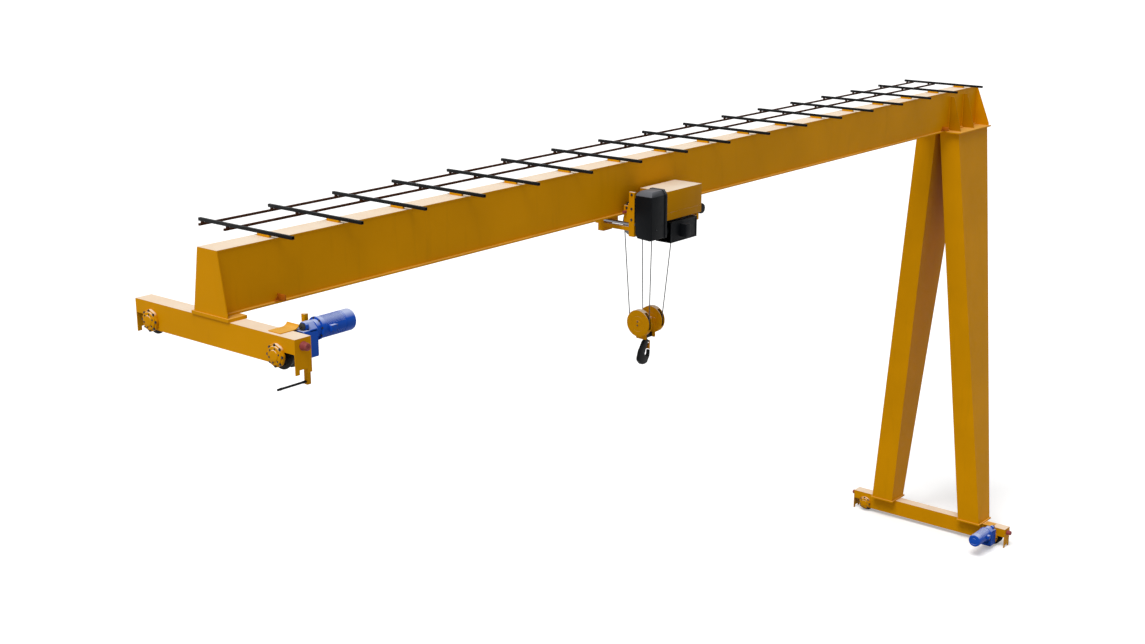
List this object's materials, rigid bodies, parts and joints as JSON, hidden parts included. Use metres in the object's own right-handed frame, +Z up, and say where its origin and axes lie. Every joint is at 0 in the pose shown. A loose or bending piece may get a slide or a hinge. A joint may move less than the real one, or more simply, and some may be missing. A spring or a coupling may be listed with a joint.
{
  "type": "semi-gantry crane",
  "caption": "Single-girder semi-gantry crane: one end rolls on a high runway rail, the other stands on an A-shaped leg frame, with an underslung rope hoist trolley.",
  "frame": {"origin": "middle of the underside of the runway carriage, halfway along it and across it", "axes": "+X along the girder towards the legs, +Y across the girder towards the festoon rails, +Z up"},
  "size_m": [17.797, 3.44, 8.764],
  "materials": {
    "crane_paint": "gloss orange-yellow enamel",
    "drive_blue": "gloss blue enamel",
    "hoist_black": "satin black enamel",
    "buffer_red": "dull red rubber",
    "festoon_grey": "matt slate paint",
    "festoon_brown": "matt brown primer",
    "stop_primer": "matt red primer",
    "wheel_steel": "machined tread, dark sides",
    "bright_steel": "bright turned steel",
    "rope_steel": "greased wire rope",
    "latch_paint": "yellow paint"
  },
  "bodies": {
    "crane": {"girder_top_plate": "crane_paint", "girder_bottom_flange": "crane_paint", "girder_front_web": "crane_paint", "girder_rear_web": "crane_paint", "runway_end_plate": "crane_paint", "leg_end_plate": "crane_paint", "saddle_plate": "crane_paint", "saddle_pad": "crane_paint", "leg_cap_plate": "crane_paint", "cap_gussets": "crane_paint", "front_leg": "crane_paint", "rear_leg": "crane_paint", "leg_base_plates": "crane_paint", "base_gussets": "crane_paint", "runway_carriage": "crane_paint", "ground_carriage": "crane_paint", "rail_sweeps": "crane_paint", "end_buffers": "buffer_red", "bearing_caps": "crane_paint", "drive_gearboxes": "drive_blue", "drive_motors": "drive_blue", "torque_plates": "crane_paint", "collector_post": "crane_paint", "collector_rod": "festoon_grey", "festoon_arms": "festoon_grey", "festoon_rails": "festoon_brown", "trolley_end_stops": "stop_primer"},
    "runway_near_wheel": {"runway_wheel_near": "wheel_steel"},
    "runway_far_wheel": {"runway_wheel_far": "wheel_steel"},
    "ground_near_wheel": {"ground_wheel_near": "wheel_steel"},
    "ground_far_wheel": {"ground_wheel_far": "wheel_steel"},
    "trolley": {"hoist_end_frames": "crane_paint", "hoist_side_beam": "crane_paint", "wheel_carriers": "crane_paint", "rear_brackets": "crane_paint", "cross_beams": "crane_paint", "cross_rods": "bright_steel", "counterweight": "crane_paint", "sheave_beam": "crane_paint", "rope_anchor": "crane_paint", "hoist_gearbox": "hoist_black", "rope_drum": "wheel_steel", "hoist_motor": "hoist_black", "hoist_cabinet": "crane_paint", "trolley_drive": "hoist_black", "trolley_buffers": "buffer_red", "trolley_wheels": "wheel_steel", "upper_sheave": "wheel_steel", "hoist_ropes": "rope_steel"},
    "hook_block": {"hook_block": "crane_paint"},
    "left_sheave": {"sheave_left": "wheel_steel"},
    "right_sheave": {"sheave_right": "wheel_steel"},
    "hook": {"load_hook": "hoist_black"},
    "latch": {"hook_latch": "latch_paint"}
  },
  "joints": [
    {"name": "runway_near_roll", "type": "hinge", "parent": "crane", "child": "runway_near_wheel", "pos_m": [0, -1.045, 0.101], "axis": [1, 0, 0], "continuous": true},
    {"name": "runway_far_roll", "type": "hinge", "parent": "crane", "child": "runway_far_wheel", "pos_m": [0, 1.045, 0.101], "axis": [1, 0, 0], "continuous": true},
    {"name": "ground_near_roll", "type": "hinge", "parent": "crane", "child": "ground_near_wheel", "pos_m": [17.075, -1.38, -7.472], "axis": [1, 0, 0], "continuous": true},
    {"name": "ground_far_roll", "type": "hinge", "parent": "crane", "child": "ground_far_wheel", "pos_m": [17.075, 1.38, -7.472], "axis": [1, 0, 0], "continuous": true},
    {"name": "trolley_travel", "type": "slide", "parent": "crane", "child": "trolley", "axis": [1, 0, 0], "range_m": [-5.97, 7.948]},
    {"name": "lift", "type": "slide", "parent": "trolley", "child": "hook_block", "axis": [0, 0, 1], "range_m": [-5.3, 0.9], "deforming": ["hoist_ropes"]},
    {"name": "left_sheave_turn", "type": "hinge", "parent": "hook_block", "child": "left_sheave", "pos_m": [7.399, 0, -1.366], "axis": [1, 0, 0], "continuous": true},
    {"name": "right_sheave_turn", "type": "hinge", "parent": "hook_block", "child": "right_sheave", "pos_m": [7.705, 0, -1.366], "axis": [1, 0, 0], "continuous": true},
    {"name": "hook_swivel", "type": "hinge", "parent": "hook_block", "child": "hook", "pos_m": [7.552, 0, -1.848], "axis": [0, 0, 1], "continuous": true},
    {"name": "latch_opening", "type": "hinge", "parent": "hook", "child": "latch", "pos_m": [7.612, 0, -1.68], "axis": [0, 1, 0], "range_deg": [0, 30], "stiffness_Nm_per_rad": 0.5, "springref_deg": -28.65}
  ],
  "couplings": [
    {"joint": "left_sheave_turn", "follows": "lift", "rad_per_m": 5.8824},
    {"joint": "right_sheave_turn", "follows": "lift", "rad_per_m": -17.647}
  ]
}
